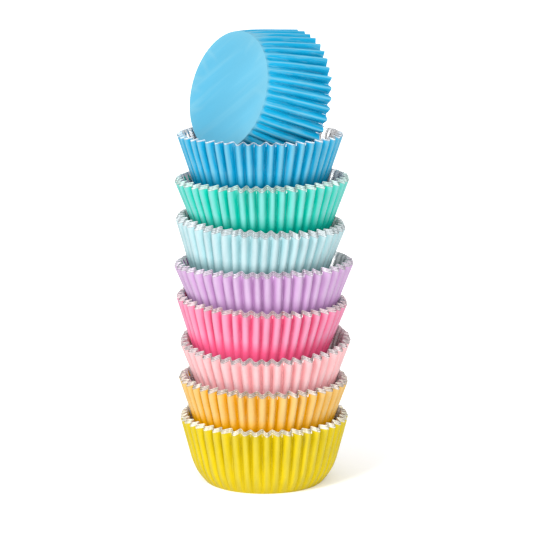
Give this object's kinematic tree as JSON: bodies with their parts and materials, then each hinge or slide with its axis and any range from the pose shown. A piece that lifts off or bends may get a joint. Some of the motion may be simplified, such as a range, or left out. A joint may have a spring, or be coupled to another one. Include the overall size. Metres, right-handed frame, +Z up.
{
  "type": "stack of cupcake liners",
  "caption": "Free-standing tower of pleated foil baking cups in pastel colours, each pack standing in the mouth of the one below and the top cup tipped on its side.",
  "frame": {"origin": "centre of the lowest liner's flat floor, on the surface that it stands on", "axes": "+Z up the stack, -Y towards the picture's viewer, so the tipped liner shows its floor towards -X and -Y"},
  "size_m": [0.0747, 0.0688, 0.1901],
  "materials": {
    "yellow_foil": "satin coloured foil outside, bare silver foil inside",
    "orange_foil": "satin coloured foil outside, bare silver foil inside",
    "light_pink_foil": "satin coloured foil outside, bare silver foil inside",
    "pink_foil": "satin coloured foil outside, bare silver foil inside",
    "purple_foil": "satin coloured foil outside, bare silver foil inside",
    "pale_blue_foil": "satin coloured foil outside, bare silver foil inside",
    "mint_foil": "satin coloured foil outside, bare silver foil inside",
    "blue_foil": "satin coloured foil outside, bare silver foil inside"
  },
  "bodies": {
    "root": {"yellow_liner_1": "yellow_foil", "yellow_liner_2": "yellow_foil", "yellow_liner_3": "yellow_foil", "orange_liner_1": "orange_foil", "orange_liner_2": "orange_foil", "orange_liner_3": "orange_foil", "light_pink_liner_1": "light_pink_foil", "light_pink_liner_2": "light_pink_foil", "light_pink_liner_3": "light_pink_foil", "pink_liner_1": "pink_foil", "pink_liner_2": "pink_foil", "pink_liner_3": "pink_foil", "purple_liner_1": "purple_foil", "purple_liner_2": "purple_foil", "purple_liner_3": "purple_foil", "pale_blue_liner_1": "pale_blue_foil", "pale_blue_liner_2": "pale_blue_foil", "pale_blue_liner_3": "pale_blue_foil", "pale_blue_liner_4": "pale_blue_foil", "mint_liner_1": "mint_foil", "mint_liner_2": "mint_foil", "mint_liner_3": "mint_foil", "blue_liner": "blue_foil", "tipped_blue_liner": "blue_foil"}
  },
  "joints": []
}
